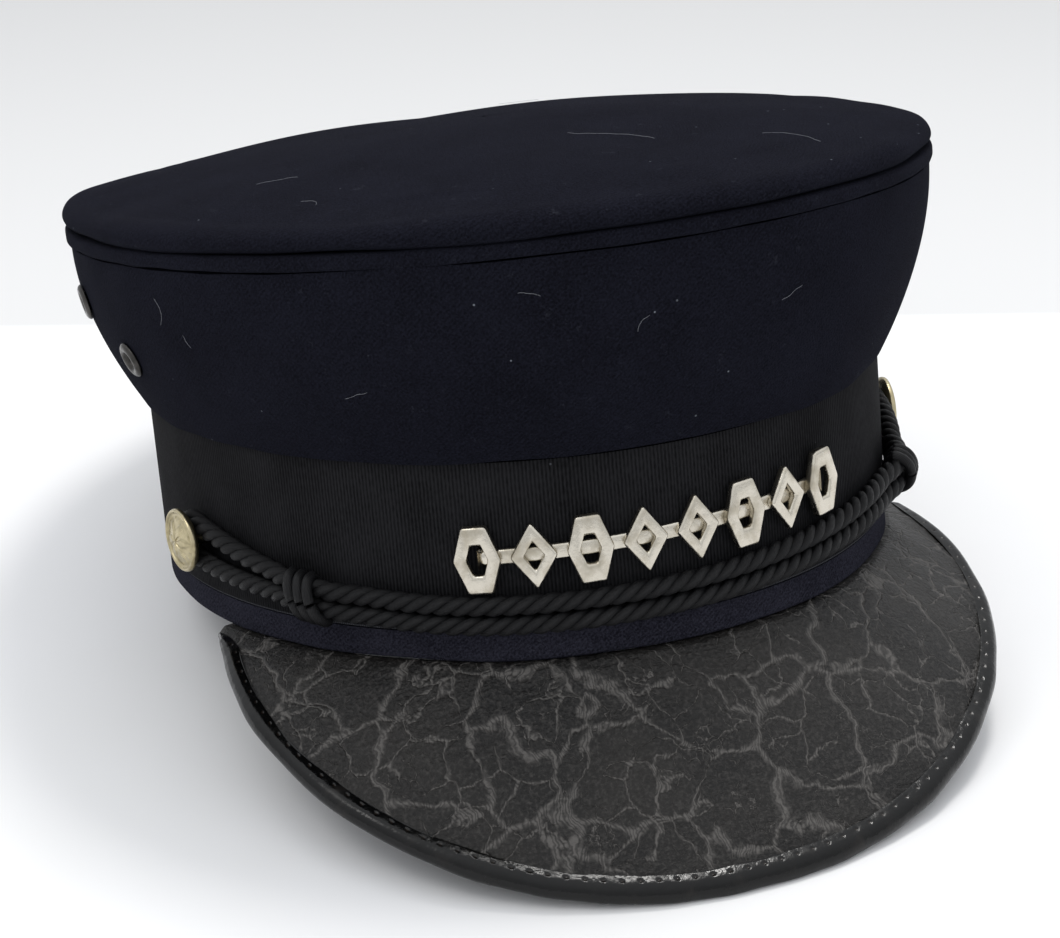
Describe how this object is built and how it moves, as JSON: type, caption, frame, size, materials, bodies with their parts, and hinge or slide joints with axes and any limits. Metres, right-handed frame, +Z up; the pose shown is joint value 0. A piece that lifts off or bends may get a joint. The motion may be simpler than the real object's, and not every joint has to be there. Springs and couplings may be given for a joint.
{
  "type": "conductor cap",
  "caption": "Wool uniform cap with a flared crown, ribbed ribbon band, drooping leather peak, twisted cord between side buttons and a cast openwork badge.",
  "frame": {"origin": "on the surface that the cap rests on, under the middle of its whole length and width", "axes": "+Z up, front of the cap towards -Y, the viewer's right of its front towards +X"},
  "size_m": [0.2054, 0.2792, 0.1418],
  "materials": {
    "wool_cloth": "matt fulled wool",
    "ribbed_ribbon": "ribbed, low sheen",
    "peak_leather": "crackled varnish",
    "binding_leather": "glossy",
    "twisted_cord": "twisted, low sheen",
    "badge_metal": "worn silver plate",
    "button_metal": "worn gilt",
    "eyelet_metal": "black japanned"
  },
  "bodies": {
    "root": {"crown_top": "wool_cloth", "crown_welt": "wool_cloth", "crown_side": "wool_cloth", "base_band": "wool_cloth", "ribbon_band": "ribbed_ribbon", "peak": "peak_leather", "peak_binding": "binding_leather", "cord_upper": "twisted_cord", "cord_lower": "twisted_cord", "knot_left": "twisted_cord", "knot_right": "twisted_cord", "button_left": "button_metal", "button_right": "button_metal", "badge": "badge_metal", "eyelet_left_front": "eyelet_metal", "eyelet_left_back": "eyelet_metal", "eyelet_right_front": "eyelet_metal", "eyelet_right_back": "eyelet_metal"}
  },
  "joints": []
}
